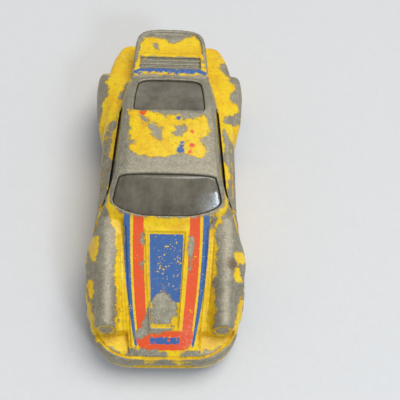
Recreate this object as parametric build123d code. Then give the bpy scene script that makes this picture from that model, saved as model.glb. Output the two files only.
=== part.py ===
from build123d import *
import math
import os

# A pocket die-cast coupe with a pull-back motor.
# Millimetres.  -Y is the nose, +X the car's left side, +Z up, z = 0 the ground.

# ---- overall size ----
HALF_WIDTH = 16.0
ROOF_Z = 21.3
SILL_Z = 3.0
WALL = 1.2
FAR = 60.0
CURVE_STEPS = 8
HEADLIGHT = (10.5, -31.0, 10.9)
LENS_RADIUS = 1.45
FENDER_RADIUS = 1.95

# ---- running gear ----
WHEEL_RADIUS = 5.3
WHEEL_WIDTH = 4.0
WHEEL_OUTER_X = 14.8
WHEEL_INNER_X = WHEEL_OUTER_X - WHEEL_WIDTH
FRONT_AXLE_Y = -21.5
REAR_AXLE_Y = 17.0
AXLE_Z = WHEEL_RADIUS
AXLE_RADIUS = 0.75
RUNNING_GAP = 0.07
ARCH_RADIUS = WHEEL_RADIUS + 0.8
RIM_RADIUS = 3.5

# ---- baseplate ----
BASE_BOTTOM = 2.2
BASE_TOP = 3.4
BASE_HALF_X = 11.5
LUG_INNER_X = 7.0
LUG_OUTER_X = 8.6
LUG_HALF_Y = 1.6
POST_Y = (-29.0, 27.5)
POST_RADIUS = 2.0
SCREW_RADIUS = 0.8

# ---- motor ----
CASE_HALF_X = 5.6
CASE_WALL = 0.8
CASE_SPLIT_X = -0.4
CASE_BOTTOM = BASE_BOTTOM
CASE_TOP = 13.1
PIN_RADIUS = 0.4
PIN_GAP = 0.05
ARBOR_RADIUS = 0.9
JOURNAL_RADIUS = 0.6
BARREL_RADIUS = 4.6
BARREL_WALL = 0.45

# ---- gears ----
MODULE = 0.35
PRESSURE_ANGLE = math.radians(25)
ADDENDUM = 0.85 * MODULE
DEDENDUM = 1.25 * MODULE
TOOTH_THINNING = 0.05
CENTRE_EXTRA = 0.03
AXLE_PINION_TEETH = 10
CLUTCH_TEETH = 12
TRANSFER_WHEEL_TEETH = 20
TRANSFER_PINION_TEETH = 10
SPRING_GEAR_TEETH = 24
FIRST_PLANE = (-4.4, -2.7)
SECOND_PLANE = (-2.2, -0.7)
SPRING_PLANE = (0.2, 4.2)


# ---------------------------------------------------------------- helpers
def inset_points(points, inset):
    """Closed outline moved inwards by a distance, with mitred corners.  Points run counter-clockwise."""
    moved = []
    for k, (u, v) in enumerate(points):
        before, after = points[k - 1], points[(k + 1) % len(points)]
        length_in = math.hypot(u - before[0], v - before[1])
        length_out = math.hypot(after[0] - u, after[1] - v)
        normal_in = ((before[1] - v) / length_in, (u - before[0]) / length_in)
        normal_out = ((v - after[1]) / length_out, (after[0] - u) / length_out)
        share = inset / (1 + normal_in[0] * normal_out[0] + normal_in[1] * normal_out[1])
        moved.append((u + share * (normal_in[0] + normal_out[0]), v + share * (normal_in[1] + normal_out[1])))
    return moved


def polyline_face(points, plane, inset=0.0):
    return plane * make_face(Polyline(*inset_points(points, inset), close=True).edges())


def symmetric_face(curves, plane, inset=0.0):
    """Face inside curves round the +X side, counter-clockwise from x = 0 to x = 0, and their mirror image."""
    half = Curve() + curves
    if inset == 0:
        return plane * make_face((half + mirror(half, about=Plane.YZ)).edges())
    points = []
    for curve in curves:
        for edge in curve.edges():
            steps = 1 if edge.geom_type == GeomType.LINE else CURVE_STEPS
            points += [edge @ (k / steps) for k in range(steps)]
    right = [(point.X, point.Y) for point in points[1:]]
    low, high = points[0], curves[-1] @ 1
    left = [(-u, v) for u, v in reversed(right)]
    return polyline_face([(0, low.Y)] + right + [(0, high.Y)] + left, plane, inset)


def through(face, direction):
    """Extrude a face FAR both ways along a direction."""
    return extrude(face, amount=FAR, dir=direction, both=True)


def cylinder_x(y, z, radius, x_low, x_high):
    plane = Plane(origin=(x_low, y, z), x_dir=(0, 1, 0), z_dir=(1, 0, 0))
    return extrude(plane * Circle(radius), amount=x_high - x_low)


def block(x_low, x_high, y_low, y_high, z_low, z_high):
    centre = ((x_low + x_high) / 2, (y_low + y_high) / 2, (z_low + z_high) / 2)
    return Pos(*centre) * Box(x_high - x_low, y_high - y_low, z_high - z_low)


def both_sides(shape):
    return shape + mirror(shape, about=Plane.YZ)


# ---------------------------------------------------------------- body casting
def plan_face(inset=0.0):
    """Outline of the main tub seen from above, without the flares."""
    nose = Spline((0, -36), (7, -35.9), (10.9, -34), (13.1, -31.6), (13.9, -28), tangents=[(1, 0), (0, 1)])
    door = Line((13.9, -28), (13.5, 26))
    tail = Spline((13.5, 26), (12.6, 30.2), (11.4, 33.2), (8.1, 35.6), (0, 36), tangents=[(0, 1), (-1, 0)])
    return symmetric_face([nose, door, tail], Plane.XY, inset)


def section_face(floor, inset):
    """Cross-section of the tub: tucked-in sill, full door, shoulder at the belt line."""
    sill = [(0, floor), (12.9, floor), (13, 3.6)]
    door = [(13.7, 5.5), (13.9, 8), (13.4, 12), (12.4, 14.4), (11, 15.5), (0, 16.4)]
    return symmetric_face([Polyline(*sill, *door)], Plane.XZ, inset)


def tub_profile(floor, inset):
    """Side view of the tub between the hood's edge ridge and the flank."""
    return polyline_face(
        [
            (36, floor), (36, 8.6), (34, 10.6), (28, 12.4), (20, 14.2), (8, 15.3), (-11.3, 15.7), (-22, 12),
            (-30.9, 9), (-31.2, 7.6), (-34.6, 7.4), (-35, 6.9), (-36, 5.4), (-36, floor),
        ],
        Plane.YZ,
        inset,
    )


def hood_profile(floor, drop=0.0):
    """Side view of the raised hood panel, from the bumper ridge to the cowl."""
    top = [(-8, 16.3), (-11, 16.3), (-22, 12.7), (-31, 9.6), (-33.6, 8.3), (-34.8, 7.1)]
    return polyline_face([(-8, floor)] + [(y, z - drop) for y, z in top] + [(-34.8, floor)], Plane.YZ)


def greenhouse(inset):
    """Roof and window frames.  The inset copy reaches lower, so that it opens into the tub."""
    low = 9 if inset else 13
    roof = [(21.4, 16.3), (11.2, 20.9), (6, ROOF_Z), (-1, ROOF_Z), (-5.2, 20.9), (-13, 14.6)]
    side = [(21.4, low), *roof, (-13, low)]
    front = Polyline((0, low), (11.8, low), (10.7, 16.6), (9.9, 19.3), (8.6, 20.6), (6, 21.2), (0, ROOF_Z))
    rail = Spline((11.4, -9), (10.6, 4), (9.6, 14), (8.5, 20))
    windscreen = ThreePointArc((0, -12.6), (6.5, -11.6), (11.4, -9))
    rear = Polyline((8.5, 20), (8.3, 24), (0, 24))
    solid = through(polyline_face(side, Plane.YZ, inset), (1, 0, 0))
    solid &= through(symmetric_face([front], Plane.XZ, inset), (0, 1, 0))
    return solid & through(symmetric_face([windscreen, rail, rear], Plane.XY, inset), (0, 0, 1))


def tail_wing(inset):
    """Flat deck and rear wing with rounded corners, standing above the rear fenders."""
    side = Line((8.3, 19), (7.5, 31))
    corner = Spline((7.5, 31), (6.9, 33.2), (4.8, 34.7), (0, 35.2), tangents=[(-0.1, 1), (-1, 0)])
    outline = symmetric_face([Line((0, 19), (8.3, 19)), side, corner], Plane.XY)
    slab = extrude(Pos(0, 0, 14.7) * outline, amount=1.5)
    skirt = symmetric_face([Polyline((0, 19), (7.6, 19), (6.2, 33.6), (0, 33.6))], Plane.XY, inset)
    post = extrude(Pos(0, 0, 8) * skirt, amount=8.1 - inset)
    return post if inset else post + slab


def tub(inset, floor):
    solid = through(plan_face(inset), (0, 0, 1))
    solid &= through(tub_profile(floor, inset), (1, 0, 0))
    return solid & through(section_face(floor, inset), (0, 1, 0))


def hood():
    plan = symmetric_face([Polyline((0, -35.5), (6.4, -35.5), (8.2, -8), (0, -8))], Plane.XY)
    return through(hood_profile(SILL_Z), (1, 0, 0)) & through(plan, (0, 0, 1))


def fender_tube():
    """Round-topped left fender: from the headlight up to the cowl, then back along the belt line."""
    path = [Vector(*HEADLIGHT), Vector(11.6, -10, 13.3), Vector(11.5, 8, 13.1), Vector(10.8, 26, 11.2)]
    tube = Part()
    for start, end in zip(path, path[1:]):
        plane = Plane(origin=start, z_dir=end - start)
        tube += extrude(plane * Circle(FENDER_RADIUS), amount=(end - start).length)
        tube += Pos(*end) * Sphere(FENDER_RADIUS)
    return tube


def headlight_lens():
    plane = Plane(origin=HEADLIGHT, z_dir=(-0.05, -1, -0.11))
    return extrude(plane * Circle(LENS_RADIUS), amount=0.35, taper=25)


def front_flare():
    """Swollen left arch over the front wheel."""
    bulge = Spline(
        (12.5, -28.6), (14.7, -25.6), (15.55, -21), (15.3, -14), (12.5, -8.6), tangents=[(0.6, 1), (-0.6, 1)]
    )
    plan = make_face((Curve() + [bulge, Line((12.5, -8.6), (12.5, -28.6))]).edges())
    disc = cylinder_x(FRONT_AXLE_Y + 2, AXLE_Z - 3, 11.2, 8, 20) & block(8, 20, -40, 40, SILL_Z, 13)
    flare = through(plan, (0, 0, 1)) & disc
    return flare


def rear_flare():
    """Wide left box flare over the rear wheel, with an abrupt rear edge."""
    swell = [(13.2, 8.2), (14.9, 13), (15.8, 19), (HALF_WIDTH, 23), (15.4, 27.4)]
    bulge = Spline(*swell, tangents=[(0.7, 1), (-0.4, 1)])
    edge = Polyline((15.4, 27.4), (14, 29), (12, 30), (12, 8.2), (13.2, 8.2))
    plan = make_face((Curve() + [bulge, edge]).edges())
    disc = cylinder_x(REAR_AXLE_Y + 2, AXLE_Z - 5, 13, 8, 20) & block(8, 20, -40, 40, SILL_Z, 13)
    return through(plan, (0, 0, 1)) & disc


def window_cutters(grow):
    """Openings for the windscreen, rear window and side windows, each grown by a margin."""
    screen = symmetric_face([Polyline((0, 16.9), (9.3, 17.1), (7.9, 20.2), (0, 20.45))], Plane.XZ)
    rear = symmetric_face([Polyline((0, 16.7), (6.3, 16.7), (6.9, 20.3), (0, 20.5))], Plane.XZ)
    side = polyline_face([(-6.6, 16.6), (-3.6, 19.2), (10.4, 19.2), (13.6, 16.8)], Plane.YZ)
    cutters = extrude(Pos(0, -3.4, 0) * offset(screen, amount=grow), amount=12, dir=(0, -1, 0))
    cutters += extrude(Pos(0, 10, 0) * offset(rear, amount=grow), amount=14, dir=(0, 1, 0))
    return cutters + both_sides(extrude(Pos(7.5, 0, 0) * offset(side, amount=grow), amount=6, dir=(1, 0, 0)))


def make_body_shell():
    outer = tub(0, SILL_Z) + hood() + greenhouse(0) + tail_wing(0)
    outer += both_sides(fender_tube() + headlight_lens() + front_flare() + rear_flare())
    cavity = tub(WALL, -10) + greenhouse(WALL) + tail_wing(WALL)
    shell = outer - cavity
    for y in (FRONT_AXLE_Y, REAR_AXLE_Y):
        shell -= both_sides(cylinder_x(y, AXLE_Z, ARCH_RADIUS, WHEEL_INNER_X - 0.6, 20))
    shell -= window_cutters(0)
    for y in POST_Y:
        post = Pos(0, y, BASE_TOP) * extrude(Circle(POST_RADIUS), amount=20)
        shell += post & outer
        shell -= Pos(0, y, BASE_TOP) * extrude(Circle(SCREW_RADIUS), amount=4.5)
    panel_edge = Polyline((0, -30.5), (3.3, -30.5), (4.4, -13), (0, -13))
    panel = through(symmetric_face([panel_edge], Plane.XY), (0, 0, 1))
    shell -= panel & (block(-9, 9, -34, -12, 5, 20) - through(hood_profile(0, drop=0.35), (1, 0, 0)))
    for y in (25.0, 26.0, 27.0):
        shell -= block(-6.4, 6.4, y - 0.3, y + 0.3, 15.75, 17)
    return shell


def make_window_glass():
    """Smoked moulding: a thin hood inside the roof with raised panes that fill the openings."""
    trim = block(-20, 20, -14, 21, 15.4, 25)
    skin = (greenhouse(WALL + 0.05) - greenhouse(WALL + 0.65)) & trim
    panes = greenhouse(0.3) & window_cutters(-0.06)
    return skin + (panes - greenhouse(WALL + 0.65))


# ---------------------------------------------------------------- inside the cabin
def bucket_seat(x):
    cushion = block(x - 2.7, x + 2.7, -8.6, -3.6, 4.0, 7.4)
    back = block(x - 2.5, x + 2.5, -4.6, -2.8, 6.0, 14.6)
    seat = fillet(cushion.edges().filter_by(Axis.X), 0.5) + fillet(back.edges().filter_by(Axis.X), 0.6)
    return seat


def make_interior_tub():
    """Floor, dashboard, front seats, rear bench over the motor, and the steering wheel."""
    interior = block(-9.4, 9.4, -12.6, -1.9, BASE_TOP, 4.2)
    interior += block(-9.4, 9.4, -13.3, -12.2, BASE_TOP, 13.6)
    interior += block(-9.4, 9.4, -12.4, -10.6, 11.2, 13.6)
    interior += block(-9.4, 9.4, -2.9, -1.9, BASE_TOP, 13.9)
    interior += block(-9.4, 9.4, -2.9, 8, CASE_TOP, 13.9)
    interior += block(-7, 7, 7.9, 18.8, CASE_TOP, 13.9)
    interior += block(-8, 8, 7.2, 9.0, 13.5, 16.0)
    for x in (-4.6, 4.6):
        interior += bucket_seat(x)
    wheel_plane = Plane(origin=(4.6, -9.6, 12.2), z_dir=(0, 1, 0.45))
    interior += wheel_plane * Torus(1.9, 0.3)
    interior += wheel_plane * (Box(3.6, 0.6, 0.4) + Pos(0, 0, -0.9) * Cylinder(0.35, 1.9))
    return interior


# ---------------------------------------------------------------- underside
def make_baseplate():
    plate = extrude(Pos(0, 0, BASE_BOTTOM) * plan_face(WALL + 0.15), amount=BASE_TOP - BASE_BOTTOM)
    plate &= block(-BASE_HALF_X, BASE_HALF_X, -40, 40, BASE_BOTTOM, BASE_TOP)
    for y in (FRONT_AXLE_Y, REAR_AXLE_Y):
        arch = WHEEL_RADIUS + 0.7
        plate -= both_sides(block(9.4, 20, y - arch, y + arch, 0, 5))
        lug = block(LUG_INNER_X, LUG_OUTER_X, y - LUG_HALF_Y, y + LUG_HALF_Y, BASE_BOTTOM, AXLE_Z + 1.7)
        lug = fillet(lug.edges().filter_by(Axis.X).group_by(Axis.Z)[-1], 1.2)
        plate += both_sides(lug)
        plate -= cylinder_x(y, AXLE_Z, AXLE_RADIUS + RUNNING_GAP, -20, 20)
    plate -= block(-CASE_HALF_X, CASE_HALF_X, case_front_y(), case_rear_y(), 0, 5)
    for y in POST_Y:
        plate -= Pos(0, y, 0) * extrude(Circle(SCREW_RADIUS), amount=6)
        plate -= Pos(0, y, 0) * extrude(Circle(1.7), amount=BASE_BOTTOM + 0.7)
    for x in (-3.5, 0, 3.5):
        plate += block(x - 0.4, x + 0.4, -17, -4.5, BASE_TOP - 0.1, BASE_TOP)
        plate -= block(x - 0.6, x + 0.6, -16, -5.5, 0, BASE_BOTTOM + 0.35)
    return plate


def make_base_screws():
    """Two pan-head screws driven up from below."""
    screws = Part()
    for y in POST_Y:
        head = Pos(0, y, BASE_BOTTOM + 0.1) * extrude(Circle(1.55), amount=0.6)
        shank = Pos(0, y, BASE_BOTTOM + 0.6) * extrude(Circle(SCREW_RADIUS), amount=4.4)
        slot = Pos(0, y, BASE_BOTTOM) * Box(2.4, 0.35, 0.7)
        screws += head + shank - slot
    return screws


# ---------------------------------------------------------------- wheels
def wheel_ring(y, profile):
    """Revolve an (x, radius) profile about an axle line."""
    plane = Plane(origin=(0, y, AXLE_Z), x_dir=(1, 0, 0), z_dir=(0, -1, 0))
    face = plane * make_face(Polyline(*profile, close=True).edges())
    return revolve(face, Axis((0, y, AXLE_Z), (1, 0, 0)))


def tyre_profile(inner_radius):
    low, high, r = WHEEL_INNER_X, WHEEL_OUTER_X, WHEEL_RADIUS
    shoulder = [(low, r - 0.9), (low + 0.25, r - 0.35), (low + 0.75, r)]
    for groove_x in (low + 1.35, high - 1.35):
        shoulder += [(groove_x - 0.2, r), (groove_x - 0.12, r - 0.25)]
        shoulder += [(groove_x + 0.12, r - 0.25), (groove_x + 0.2, r)]
    shoulder += [(high - 0.75, r), (high - 0.25, r - 0.35), (high, r - 0.9)]
    return [(low, inner_radius)] + shoulder + [(high, inner_radius)]


def hub_solid(y, outer_radius):
    """Dished wheel centre with five spokes, a raised cap and a long boss towards the bearing."""
    high = WHEEL_OUTER_X
    boss_x = LUG_OUTER_X + 0.3
    profile = [
        (boss_x, AXLE_RADIUS), (boss_x, 1.7), (WHEEL_INNER_X + 0.6, 1.7), (WHEEL_INNER_X + 0.6, 2.6),
        (WHEEL_INNER_X, 2.9), (WHEEL_INNER_X, outer_radius), (high, outer_radius), (high + 0.1, 3.2),
        (high - 0.1, 2.95), (high - 0.7, 2.8), (high - 0.7, 1.35), (high - 0.1, 1.1), (high, 0.9), (high, AXLE_RADIUS),
    ]
    solid = wheel_ring(y, profile)
    pocket = Plane.YZ * Polygon((0.0, 0.9), (-0.85, 2.6), (0.85, 2.6), align=None)
    for k in range(5):
        cutter = extrude(Pos(high - 1.5, 0, 0) * pocket, amount=2)
        solid -= Pos(0, y, AXLE_Z) * Rot(X=72 * k) * cutter
    return solid


def make_front_wheel():
    return hub_solid(FRONT_AXLE_Y, RIM_RADIUS) + wheel_ring(FRONT_AXLE_Y, tyre_profile(RIM_RADIUS))


def make_rear_hub():
    return hub_solid(REAR_AXLE_Y, RIM_RADIUS)


def make_rear_tyre():
    return wheel_ring(REAR_AXLE_Y, tyre_profile(RIM_RADIUS))


def make_axle(y):
    return cylinder_x(y, AXLE_Z, AXLE_RADIUS, -WHEEL_OUTER_X, WHEEL_OUTER_X)


# ---------------------------------------------------------------- gears
def pitch_radius(teeth):
    return MODULE * teeth / 2


def involute(angle):
    return math.tan(angle) - angle


def gear_face(teeth):
    """Spur gear outline with involute flanks; tooth 0 is centred on the local x axis."""
    pitch = pitch_radius(teeth)
    base = pitch * math.cos(PRESSURE_ANGLE)
    tip = pitch + ADDENDUM
    root = pitch - DEDENDUM
    half_tooth = math.pi / (2 * teeth) - TOOTH_THINNING / (2 * pitch)
    start = max(base, root)
    radii = [root, start, (start + tip) / 2, tip]
    angles = [
        half_tooth + involute(PRESSURE_ANGLE) - involute(math.acos(base / max(r, base))) for r in radii
    ]
    flank = list(zip(radii, angles))
    points = []
    for k in range(teeth):
        centre = 2 * math.pi * k / teeth
        for r, a in flank:
            points.append((r * math.cos(centre - a), r * math.sin(centre - a)))
        for r, a in reversed(flank):
            points.append((r * math.cos(centre + a), r * math.sin(centre + a)))
    return make_face(Polyline(*points, close=True).edges())


def gear(teeth, centre, phase, plane_x):
    """Gear across plane_x, turned so that a tooth points phase radians from +Y towards +Z."""
    plane = Plane(origin=(plane_x[0], *centre), x_dir=(0, 1, 0), z_dir=(1, 0, 0))
    face = plane * (Rot(Z=math.degrees(phase)) * gear_face(teeth))
    return extrude(face, amount=plane_x[1] - plane_x[0])


def next_centre(centre, distance, angle):
    return (centre[0] + distance * math.cos(angle), centre[1] + distance * math.sin(angle))


def centre_distance(teeth_a, teeth_b):
    return pitch_radius(teeth_a + teeth_b) + CENTRE_EXTRA


def mating_phase(teeth, phase, angle, mate_teeth):
    """Phase that puts the mate's tooth gap where this gear's tooth meets it."""
    return angle + math.pi + (math.pi - (phase - angle) * teeth) / mate_teeth


REAR_AXLE = (REAR_AXLE_Y, AXLE_Z)
CLUTCH_ANGLE = math.radians(118)
TRANSFER_ANGLE = math.radians(194.5)
SPRING_ANGLE = math.radians(176.5)
CLUTCH_CENTRE = next_centre(REAR_AXLE, centre_distance(AXLE_PINION_TEETH, CLUTCH_TEETH), CLUTCH_ANGLE)
TRANSFER_CENTRE = next_centre(
    CLUTCH_CENTRE, centre_distance(CLUTCH_TEETH, TRANSFER_WHEEL_TEETH), TRANSFER_ANGLE
)
SPRING_CENTRE = next_centre(
    TRANSFER_CENTRE, centre_distance(TRANSFER_PINION_TEETH, SPRING_GEAR_TEETH), SPRING_ANGLE
)
CLUTCH_PHASE = mating_phase(AXLE_PINION_TEETH, CLUTCH_ANGLE, CLUTCH_ANGLE, CLUTCH_TEETH)
TRANSFER_PHASE = mating_phase(CLUTCH_TEETH, CLUTCH_PHASE, TRANSFER_ANGLE, TRANSFER_WHEEL_TEETH)
SPRING_PHASE = mating_phase(TRANSFER_PINION_TEETH, SPRING_ANGLE, SPRING_ANGLE, SPRING_GEAR_TEETH)


def make_axle_pinion():
    solid = gear(AXLE_PINION_TEETH, REAR_AXLE, CLUTCH_ANGLE, FIRST_PLANE)
    return solid - cylinder_x(*REAR_AXLE, AXLE_RADIUS, -9, 9)


def make_clutch_gear():
    solid = gear(CLUTCH_TEETH, CLUTCH_CENTRE, CLUTCH_PHASE, FIRST_PLANE)
    solid += cylinder_x(*CLUTCH_CENTRE, 1.1, FIRST_PLANE[1], 4.2)
    return solid - cylinder_x(*CLUTCH_CENTRE, PIN_RADIUS + PIN_GAP, -9, 9)


def make_transfer_gear():
    """Compound gear: a wheel in the first plane and a pinion in the second, on one sleeve."""
    solid = gear(TRANSFER_WHEEL_TEETH, TRANSFER_CENTRE, TRANSFER_PHASE, FIRST_PLANE)
    solid += gear(TRANSFER_PINION_TEETH, TRANSFER_CENTRE, SPRING_ANGLE, (FIRST_PLANE[1], SECOND_PLANE[1]))
    return solid - cylinder_x(*TRANSFER_CENTRE, PIN_RADIUS + PIN_GAP, -9, 9)


def make_spring_gear():
    solid = gear(SPRING_GEAR_TEETH, SPRING_CENTRE, SPRING_PHASE, SECOND_PLANE)
    return solid - cylinder_x(*SPRING_CENTRE, ARBOR_RADIUS, -9, 9)


def make_spring_arbor():
    solid = cylinder_x(*SPRING_CENTRE, JOURNAL_RADIUS, -CASE_HALF_X, CASE_HALF_X)
    return solid + cylinder_x(*SPRING_CENTRE, ARBOR_RADIUS, -4.6, 4.6)


def make_mainspring():
    """Flat strip coiled outwards from the arbor in an even spiral."""
    strip = 0.18
    turns = 5
    first_radius = ARBOR_RADIUS + strip
    last_radius = BARREL_RADIUS - 0.25
    steps = turns * 12

    def spiral(thickness):
        points = []
        for k in range(steps + 1):
            angle = 2 * math.pi * turns * k / steps
            radius = first_radius + (last_radius - first_radius) * k / steps - thickness
            points.append((radius * math.cos(angle), radius * math.sin(angle)))
        return points

    outer = spiral(0)
    inner = spiral(strip)
    outline = Spline(*outer) + Line(outer[-1], inner[-1]) + Spline(*inner) + Line(inner[0], outer[0])
    plane = Plane(origin=(SPRING_PLANE[0], *SPRING_CENTRE), x_dir=(0, 1, 0), z_dir=(1, 0, 0))
    return extrude(plane * make_face(outline.edges()), amount=SPRING_PLANE[1] - SPRING_PLANE[0])


def make_pin(centre):
    return cylinder_x(*centre, PIN_RADIUS, -CASE_HALF_X, CASE_HALF_X)


# ---------------------------------------------------------------- motor case
def case_front_y():
    return SPRING_CENTRE[0] - BARREL_RADIUS - CASE_WALL


def case_rear_y():
    return REAR_AXLE_Y + pitch_radius(AXLE_PINION_TEETH) + ADDENDUM + CASE_WALL + 0.2


def case_solid():
    """Whole motor case: a box with rounded ends, hollow, with a round barrel for the spring."""
    front, rear = case_front_y(), case_rear_y()
    outer = block(-CASE_HALF_X, CASE_HALF_X, front, rear, CASE_BOTTOM, CASE_TOP)
    outer = fillet(outer.edges().filter_by(Axis.X).group_by(Axis.Z)[-1], 1.5)
    hollow_x = CASE_HALF_X - CASE_WALL
    hollow = block(
        -hollow_x, hollow_x, front + CASE_WALL, rear - CASE_WALL, CASE_BOTTOM + CASE_WALL, CASE_TOP - CASE_WALL
    )
    case = outer - hollow
    barrel = cylinder_x(*SPRING_CENTRE, BARREL_RADIUS + BARREL_WALL, -0.2, hollow_x)
    case += (barrel & outer)
    case -= cylinder_x(*SPRING_CENTRE, BARREL_RADIUS, -0.3, hollow_x)
    ears = block(CASE_HALF_X - 0.1, LUG_INNER_X - 0.1, 3, 7, BASE_TOP, BASE_TOP + 0.9)
    case += both_sides(ears)
    case -= cylinder_x(*REAR_AXLE, AXLE_RADIUS + RUNNING_GAP, -9, 9)
    case -= cylinder_x(*SPRING_CENTRE, JOURNAL_RADIUS + 0.06, -9, 9)
    for centre in (CLUTCH_CENTRE, TRANSFER_CENTRE):
        case -= cylinder_x(*centre, PIN_RADIUS, -9, 9)
    return case


def make_motor_case_left():
    return case_solid() & block(CASE_SPLIT_X, 20, -40, 40, 0, 30)


def make_motor_case_right():
    return case_solid() & block(-20, CASE_SPLIT_X, -40, 40, 0, 30)


# ---------------------------------------------------------------- write one STEP per node
PARTS = {
    "body_shell": make_body_shell(),
    "window_glass": make_window_glass(),
    "interior_tub": make_interior_tub(),
    "baseplate": make_baseplate(),
    "base_screws": make_base_screws(),
    "front_axle": make_axle(FRONT_AXLE_Y),
    "front_wheel_left": make_front_wheel(),
    "front_wheel_right": mirror(make_front_wheel(), about=Plane.YZ),
    "rear_axle": make_axle(REAR_AXLE_Y),
    "rear_hub_left": make_rear_hub(),
    "rear_hub_right": mirror(make_rear_hub(), about=Plane.YZ),
    "rear_tyre_left": make_rear_tyre(),
    "rear_tyre_right": mirror(make_rear_tyre(), about=Plane.YZ),
    "axle_pinion": make_axle_pinion(),
    "clutch_gear": make_clutch_gear(),
    "clutch_gear_pin": make_pin(CLUTCH_CENTRE),
    "transfer_gear": make_transfer_gear(),
    "transfer_gear_pin": make_pin(TRANSFER_CENTRE),
    "spring_gear": make_spring_gear(),
    "spring_arbor": make_spring_arbor(),
    "mainspring": make_mainspring(),
    "motor_case_left": make_motor_case_left(),
    "motor_case_right": make_motor_case_right(),
}

os.makedirs("parts", exist_ok=True)
for name, shape in PARTS.items():
    export_step(shape, f"parts/{name}.step")
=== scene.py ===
import math

import bpy
import numpy as np
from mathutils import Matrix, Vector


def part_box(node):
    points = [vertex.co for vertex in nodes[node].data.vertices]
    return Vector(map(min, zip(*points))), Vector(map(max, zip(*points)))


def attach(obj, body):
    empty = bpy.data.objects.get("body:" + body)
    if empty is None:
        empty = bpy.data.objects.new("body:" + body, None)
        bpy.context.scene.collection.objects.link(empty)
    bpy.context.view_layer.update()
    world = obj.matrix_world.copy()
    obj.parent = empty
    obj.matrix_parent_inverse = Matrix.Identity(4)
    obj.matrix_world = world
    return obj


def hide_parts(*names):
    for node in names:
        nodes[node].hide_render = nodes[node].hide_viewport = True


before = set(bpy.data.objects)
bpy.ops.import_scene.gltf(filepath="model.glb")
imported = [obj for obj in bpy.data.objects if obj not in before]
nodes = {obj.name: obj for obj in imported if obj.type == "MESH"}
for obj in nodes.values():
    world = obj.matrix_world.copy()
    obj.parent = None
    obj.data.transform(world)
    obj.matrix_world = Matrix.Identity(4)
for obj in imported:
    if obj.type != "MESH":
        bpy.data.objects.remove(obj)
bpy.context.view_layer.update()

import openvdb
from mathutils import Matrix, Vector

# A play-worn die-cast coupe: the casting and its windows are built as distance fields in millimetres
# and meshed; everything else is the CAD frame with bevels and procedural materials.

MM = 0.001
STEP = 0.15
WALL = 1.15


def millimetres(node):
    low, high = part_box(node)
    return np.array(low) / MM, np.array(high) / MM


SHELL_LOW, SHELL_HIGH = millimetres("body_shell")
NOSE_Y, TAIL_Y = SHELL_LOW[1], SHELL_HIGH[1]
SILL_Z, ROOF_Z = SHELL_LOW[2], SHELL_HIGH[2]
WHEEL_RADIUS = millimetres("front_wheel_left")[1][2] / 2
FRONT_Y = np.mean([c[1] for c in millimetres("front_axle")])
REAR_Y = np.mean([c[1] for c in millimetres("rear_axle")])
ARCH_RADIUS = WHEEL_RADIUS + 0.75
HEADLIGHT = np.array([10.5, NOSE_Y + 5.0, 10.9])
LENS_RADIUS = 1.45
# Nose of the car in plan, from near the middle round to the front wheel arch.
NOSE = [(4, -36), (7.4, -35.8), (9.9, -34.9), (11.9, -33.3), (13.3, -31.2), (14, -28.6), (14, -26)]

# ---------------------------------------------------------------- grid: the +x half of the car
GRID_X = np.arange(0.5, 16.8 / STEP) * STEP
GRID_Y = np.arange(NOSE_Y - 0.8, TAIL_Y + 0.8, STEP)
GRID_Z = np.arange(SILL_Z - 0.8, ROOF_Z + 1.0, STEP)
X = GRID_X[:, None, None]
Y = GRID_Y[None, :, None]
Z = GRID_Z[None, None, :]


# ---------------------------------------------------------------- distance helpers
def smooth_min(a, b, k):
    blend = np.maximum(k - np.abs(a - b), 0) / k
    return np.minimum(a, b) - blend * blend * k / 4


def smooth_max(a, b, k):
    return -smooth_min(-a, -b, k)


def meet(k, *fields):
    """Intersection of fields with edges rounded over k."""
    result = fields[0]
    for field in fields[1:]:
        result = smooth_max(result, field, k)
    return result


def outline(u, v, points, curved=False, steps=6):
    """Signed distance to a closed outline in the (u, v) plane, negative inside."""
    corners = np.array(points, float)
    if curved:
        corners = rounded_outline(corners, steps)
    squared = np.full(np.broadcast(u, v).shape, np.inf)
    inside = np.zeros(squared.shape, bool)
    for (u0, v0), (u1, v1) in zip(corners, np.roll(corners, -1, axis=0)):
        du, dv = u1 - u0, v1 - v0
        along = np.clip(((u - u0) * du + (v - v0) * dv) / (du * du + dv * dv), 0, 1)
        squared = np.minimum(squared, (u - u0 - along * du) ** 2 + (v - v0 - along * dv) ** 2)
        if dv != 0:
            crosses = ((v0 > v) != (v1 > v)) & (u < u0 + du * (v - v0) / dv)
            inside ^= crosses
    return np.sqrt(squared) * np.where(inside, -1, 1)


def rounded_outline(corners, steps):
    """Closed Catmull-Rom curve through the corners."""
    before, after, beyond = (np.roll(corners, -k, axis=0) for k in (-1, 1, 2))
    t = (np.arange(steps) / steps)[:, None, None]
    curve = corners + t * (after - before) / 2
    curve = curve + t**2 * (before - 2.5 * corners + 2 * after - beyond / 2)
    curve = curve + t**3 * (1.5 * (corners - after) + (beyond - before) / 2)
    return curve.transpose(1, 0, 2).reshape(-1, 2)


def both_sides(right):
    """Outline points on the +x side, from low v to high v, joined to their mirror image."""
    return right + [(-u, v) for u, v in reversed(right)]


def tube(path):
    """Union of tapered capsules; each path entry is (x, y, z, radius)."""
    result = None
    for start, end in zip(path, path[1:]):
        p0, p1 = np.array(start[:3]), np.array(end[:3])
        step = p1 - p0
        along = ((X - p0[0]) * step[0] + (Y - p0[1]) * step[1] + (Z - p0[2]) * step[2]) / step.dot(step)
        along = np.clip(along, 0, 1)
        gap = [axis - (p0[i] + along * step[i]) for i, axis in enumerate((X, Y, Z))]
        field = np.sqrt(gap[0] ** 2 + gap[1] ** 2 + gap[2] ** 2) - (start[3] + along * (end[3] - start[3]))
        result = field if result is None else smooth_min(result, field, 0.6)
    return result


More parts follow.
